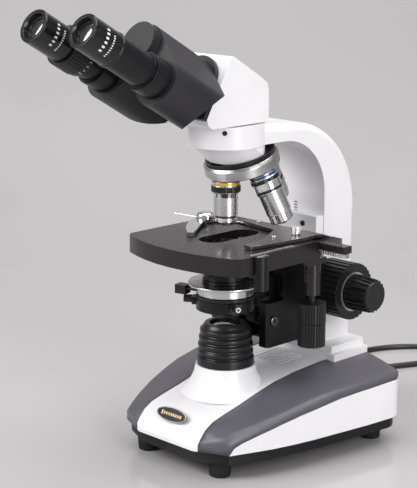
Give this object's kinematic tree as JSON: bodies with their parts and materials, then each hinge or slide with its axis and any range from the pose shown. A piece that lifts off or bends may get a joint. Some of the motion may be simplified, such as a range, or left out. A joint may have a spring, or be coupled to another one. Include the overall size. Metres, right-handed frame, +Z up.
{
  "type": "binocular compound microscope",
  "caption": "Upright binocular compound microscope with a revolving nosepiece, moving stage, focusing condenser, curved arm, wedge base with lamp, and a mains lead.",
  "frame": {"origin": "on the table, under the middle of the microscope's bounding box without its mains lead", "axes": "+Z up; the user sits towards -Y; +X to the user's right, the side of the stage knobs"},
  "size_m": [0.1864, 0.5234, 0.3694],
  "materials": {
    "white_enamel": "satin enamel",
    "grey_enamel": "satin enamel",
    "black_enamel": "satin black",
    "black_plastic": "moulded, fine grain",
    "gloss_black": "gloss",
    "chrome": "polished",
    "satin_steel": "satin, turned",
    "aluminium": "turned",
    "optical_glass": "polished",
    "rubber": "moulded",
    "iron_core": "laminated",
    "cord_sheath": "smooth PVC"
  },
  "bodies": {
    "base": {"base_cover": "white_enamel", "left_wing": "grey_enamel", "right_wing": "grey_enamel", "bottom_plate": "black_enamel", "rubber_feet": "rubber", "badge": "gloss_black", "lamp_collector": "black_plastic", "field_lens": "optical_glass", "halogen_bulb": "optical_glass", "transformer": "iron_core", "arm": "white_enamel", "frame_screws": "chrome", "guide_rails": "black_enamel", "guide_cover": "white_enamel", "turret_dome": "white_enamel", "nosepiece_plate": "black_enamel", "strain_relief": "cord_sheath", "cord_tube": "cord_sheath", "cord_coil": "cord_sheath", "plug": "cord_sheath"},
    "coarse_drive": {"coarse_knob_right": "black_plastic", "coarse_knob_left": "black_plastic"},
    "fine_drive": {"fine_knob_right": "black_plastic", "fine_knob_left": "black_plastic"},
    "brightness_dial": {"dimmer_dial": "black_plastic"},
    "rocker": {"power_switch": "black_plastic"},
    "head": {"head_body": "white_enamel", "hinge_spindle": "black_enamel"},
    "right_half": {"right_housing": "gloss_black", "right_tube": "black_enamel"},
    "left_half": {"left_housing": "gloss_black", "left_tube": "black_enamel"},
    "right_ocular": {"right_eyepiece": "gloss_black", "right_eye_lens": "optical_glass"},
    "diopter": {"diopter_ring": "black_plastic"},
    "left_ocular": {"left_eyepiece": "gloss_black", "left_eye_lens": "optical_glass"},
    "nosepiece": {"turret": "satin_steel", "objective_4x": "aluminium", "objective_10x": "aluminium", "objective_40x": "aluminium", "objective_100x": "aluminium"},
    "stage": {"focus_carriage": "black_enamel", "lower_stage": "black_enamel", "vernier_post": "black_enamel"},
    "cross_stage": {"upper_stage": "black_enamel", "stage_rail": "black_enamel"},
    "holder": {"slide_holder": "satin_steel", "x_rack": "satin_steel", "thumb_screws": "chrome"},
    "finger": {"slide_finger": "chrome"},
    "x_drive": {"x_knob": "black_plastic"},
    "y_drive": {"y_knob": "black_plastic"},
    "condenser": {"condenser_carrier": "black_enamel", "centring_screws": "chrome", "condenser_barrel": "aluminium", "condenser_neck": "black_enamel", "condenser_lens": "optical_glass"},
    "iris": {"iris_lever": "black_plastic"},
    "condenser_drive": {"condenser_knob": "black_plastic"}
  },
  "joints": [
    {"name": "stage_focus", "type": "slide", "parent": "base", "child": "stage", "axis": [0, 0, 1], "range_m": [-0.0075, 0.001]},
    {"name": "coarse_turn", "type": "hinge", "parent": "base", "child": "coarse_drive", "pos_m": [0, 0.11637, 0.1264], "axis": [1, 0, 0], "range_deg": [-10, 68]},
    {"name": "fine_turn", "type": "hinge", "parent": "base", "child": "fine_drive", "pos_m": [0, 0.11637, 0.1264], "axis": [1, 0, 0], "continuous": true},
    {"name": "dial_turn", "type": "hinge", "parent": "base", "child": "brightness_dial", "pos_m": [-0.0854, 0.05037, 0.037], "axis": [1, 0, 0], "range_deg": [0, 270]},
    {"name": "switch_tip", "type": "hinge", "parent": "base", "child": "rocker", "pos_m": [0.032, 0.14877, 0.037], "axis": [1, 0, 0], "range_deg": [-16, 0]},
    {"name": "head_swivel", "type": "hinge", "parent": "base", "child": "head", "pos_m": [0, 0.02037, 0.274], "axis": [0, 0, 1], "continuous": true},
    {"name": "right_hinge", "type": "hinge", "parent": "head", "child": "right_half", "pos_m": [0, -0.02618, 0.31675], "axis": [0, -0.8634, 0.5045], "range_deg": [0, 35.4]},
    {"name": "left_hinge", "type": "hinge", "parent": "head", "child": "left_half", "pos_m": [0, -0.02618, 0.31675], "axis": [0, -0.8634, 0.5045], "range_deg": [-35.4, 0]},
    {"name": "right_ocular_turn", "type": "hinge", "parent": "right_half", "child": "right_ocular", "pos_m": [0.0274, -0.12574, 0.34459], "axis": [0, -0.8634, 0.5045], "continuous": true},
    {"name": "diopter_turn", "type": "hinge", "parent": "left_half", "child": "diopter", "pos_m": [-0.0274, -0.11279, 0.33702], "axis": [0, -0.8634, 0.5045], "range_deg": [-120, 120]},
    {"name": "left_ocular_turn", "type": "hinge", "parent": "diopter", "child": "left_ocular", "pos_m": [-0.0274, -0.12574, 0.34459], "axis": [0, -0.8634, 0.5045], "continuous": true},
    {"name": "nosepiece_turn", "type": "hinge", "parent": "base", "child": "nosepiece", "pos_m": [0, 0.04045, 0.23214], "axis": [0, -0.2924, 0.9563], "continuous": true},
    {"name": "stage_y", "type": "slide", "parent": "stage", "child": "cross_stage", "axis": [0, 1, 0], "range_m": [-0.018, 0.012]},
    {"name": "holder_x", "type": "slide", "parent": "cross_stage", "child": "holder", "axis": [1, 0, 0], "range_m": [-0.03, 0.03]},
    {"name": "x_turn", "type": "hinge", "parent": "cross_stage", "child": "x_drive", "pos_m": [0.056, 0.06337, 0.12], "axis": [0, 0, 1], "range_deg": [-435, 435]},
    {"name": "y_turn", "type": "hinge", "parent": "cross_stage", "child": "y_drive", "pos_m": [0.056, 0.06337, 0.1], "axis": [0, 0, 1], "range_deg": [-262, 176]},
    {"name": "finger_open", "type": "hinge", "parent": "holder", "child": "finger", "pos_m": [-0.0513, 0.04737, 0.184], "axis": [0, 0, -1], "range_deg": [0, 24], "stiffness_Nm_per_rad": 0.08, "springref_deg": -14.32},
    {"name": "condenser_lift", "type": "slide", "parent": "stage", "child": "condenser", "axis": [0, 0, 1], "range_m": [-0.0045, 0.002]},
    {"name": "condenser_turn", "type": "hinge", "parent": "stage", "child": "condenser_drive", "pos_m": [0, 0.05387, 0.1067], "axis": [1, 0, 0], "range_deg": [-55, 25]},
    {"name": "iris_turn", "type": "hinge", "parent": "condenser", "child": "iris", "pos_m": [0, 0.02037, 0.131], "axis": [0, 0, 1], "range_deg": [-35, 25]}
  ],
  "couplings": [
    {"joint": "coarse_turn", "follows": "stage_focus", "rad_per_m": -156.25},
    {"joint": "left_hinge", "follows": "right_hinge", "ratio": -1},
    {"joint": "x_turn", "follows": "holder_x", "rad_per_m": -250},
    {"joint": "y_turn", "follows": "stage_y", "rad_per_m": 250},
    {"joint": "condenser_turn", "follows": "condenser_lift", "rad_per_m": 208.33}
  ]
}
